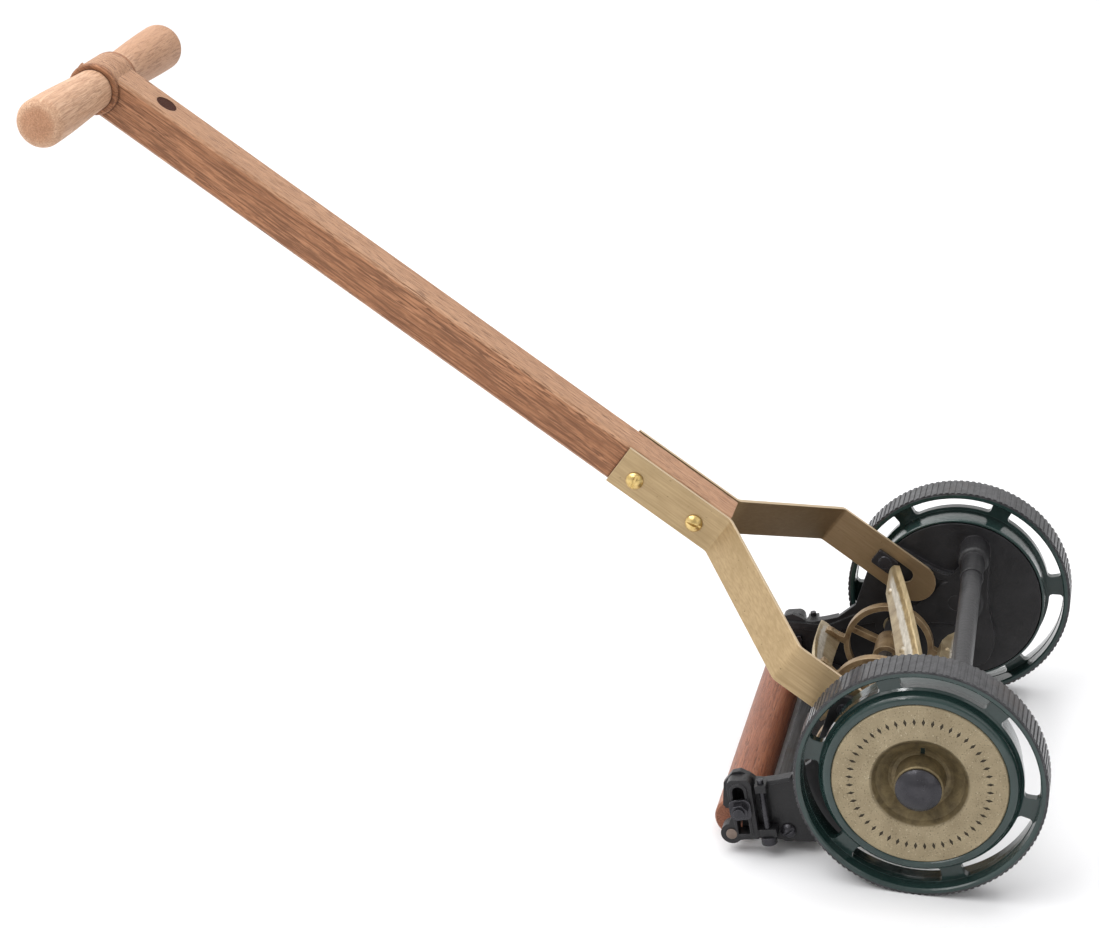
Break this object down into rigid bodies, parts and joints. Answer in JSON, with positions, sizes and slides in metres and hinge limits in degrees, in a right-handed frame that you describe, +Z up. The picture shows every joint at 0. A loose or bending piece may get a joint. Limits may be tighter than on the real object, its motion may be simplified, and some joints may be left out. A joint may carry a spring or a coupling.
{
  "type": "reel mower",
  "caption": "Small antique push reel mower with geared iron wheels, brass face discs, a helical reel, a bed knife, a wooden roller and an oak fork handle.",
  "frame": {"origin": "on the ground under the middle of the whole machine, handle included", "axes": "+X the way the mower is pushed, +Y the mower's left side, +Z up; the handle trails towards -X"},
  "size_m": [0.4589, 0.224, 0.3203],
  "materials": {
    "green_paint": "dark green gloss enamel, bare iron on the ribbed tread",
    "black_iron": "near-black japanned iron, satin",
    "dark_steel": "dark blued steel, satin",
    "bright_steel": "plain ground steel, slightly worn",
    "worn_steel": "brown-grey steel, paint worn off its ends",
    "disc_brass": "aged khaki brass with fine specks",
    "strap_brass": "worn pale brass strip",
    "screw_brass": "clean yellow brass",
    "blade_brass": "dull cast brass, ground pale along the cutting land",
    "spider_brass": "brownish cast brass",
    "oak": "oiled oak with open pores",
    "oak_crossbar": "oiled oak, turned, grain along the bar",
    "dark_wood": "dark wooden plug",
    "roller_wood": "reddish-brown stained wood"
  },
  "bodies": {
    "mower_frame": {"side_frame_left": "black_iron", "side_frame_right": "black_iron", "tie_rod": "black_iron", "bed_bar": "black_iron", "bed_knife": "bright_steel", "bed_knife_rivets": "dark_steel", "bed_bar_screws": "dark_steel", "axle_left": "black_iron", "axle_right": "black_iron", "axle_cap_left": "dark_steel", "axle_cap_right": "dark_steel", "reel_bearing_left": "disc_brass", "reel_bearing_right": "disc_brass", "handle_stud_left": "dark_steel", "handle_stud_right": "dark_steel", "bracket_bolts": "dark_steel", "bracket_washers": "dark_steel", "bracket_nuts": "dark_steel"},
    "left_wheel": {"wheel_left": "green_paint", "hub_disc_left": "disc_brass", "wheel_bushing_left": "disc_brass"},
    "right_wheel": {"wheel_right": "green_paint", "hub_disc_right": "disc_brass", "wheel_bushing_right": "disc_brass"},
    "left_pinion": {"pinion_left": "dark_steel"},
    "right_pinion": {"pinion_right": "dark_steel"},
    "cutting_reel": {"reel_shaft": "bright_steel", "reel_spider_left": "spider_brass", "reel_spider_middle": "spider_brass", "reel_spider_right": "spider_brass", "reel_blade_1": "blade_brass", "reel_blade_2": "blade_brass", "reel_blade_3": "blade_brass", "reel_blade_4": "blade_brass", "reel_rivets": "blade_brass", "pawl_left": "dark_steel", "pawl_right": "dark_steel"},
    "roller_carrier": {"roller_bracket_left": "black_iron", "roller_bracket_right": "black_iron", "roller_axle": "worn_steel", "height_screw_left": "dark_steel", "height_screw_right": "dark_steel"},
    "ground_roller": {"roller": "roller_wood"},
    "pivot_blocks": {"pivot_block_left": "dark_steel", "pivot_block_right": "dark_steel"},
    "fork_handle": {"handle_shaft": "oak", "handle_grip": "oak_crossbar", "shaft_plug": "dark_wood", "grip_peg": "oak", "fork_strap_left": "strap_brass", "fork_strap_right": "strap_brass", "strap_screws": "screw_brass"}
  },
  "joints": [
    {"name": "left_wheel_spin", "type": "hinge", "parent": "mower_frame", "child": "left_wheel", "pos_m": [0.17535, 0.095, 0.054], "axis": [0, 1, 0], "continuous": true},
    {"name": "right_wheel_spin", "type": "hinge", "parent": "mower_frame", "child": "right_wheel", "pos_m": [0.17535, -0.095, 0.054], "axis": [0, 1, 0], "continuous": true},
    {"name": "reel_spin", "type": "hinge", "parent": "mower_frame", "child": "cutting_reel", "pos_m": [0.14569, 0, 0.03843], "axis": [0, 1, 0], "continuous": true},
    {"name": "left_pinion_spin", "type": "hinge", "parent": "mower_frame", "child": "left_pinion", "pos_m": [0.14569, 0.088, 0.03843], "axis": [0, 1, 0], "continuous": true},
    {"name": "right_pinion_spin", "type": "hinge", "parent": "mower_frame", "child": "right_pinion", "pos_m": [0.14569, -0.088, 0.03843], "axis": [0, 1, 0], "continuous": true},
    {"name": "roller_height", "type": "slide", "parent": "mower_frame", "child": "roller_carrier", "axis": [-0.1736, 0, 0.9848], "range_m": [-0.004, 0.006]},
    {"name": "roller_spin", "type": "hinge", "parent": "roller_carrier", "child": "ground_roller", "pos_m": [0.09365, 0, 0.01], "axis": [0, 1, 0], "continuous": true},
    {"name": "handle_tilt", "type": "hinge", "parent": "mower_frame", "child": "pivot_blocks", "pos_m": [0.13985, 0, 0.0738], "axis": [0, 1, 0], "range_deg": [0, 100]},
    {"name": "handle_slide", "type": "slide", "parent": "pivot_blocks", "child": "fork_handle", "axis": [-0.8358, 0, 0.549], "range_m": [0, 0.0082]}
  ],
  "couplings": [
    {"joint": "left_pinion_spin", "follows": "left_wheel_spin", "ratio": 7.0909},
    {"joint": "reel_spin", "follows": "left_wheel_spin", "ratio": 7.0909},
    {"joint": "right_pinion_spin", "follows": "right_wheel_spin", "ratio": 7.0909}
  ]
}
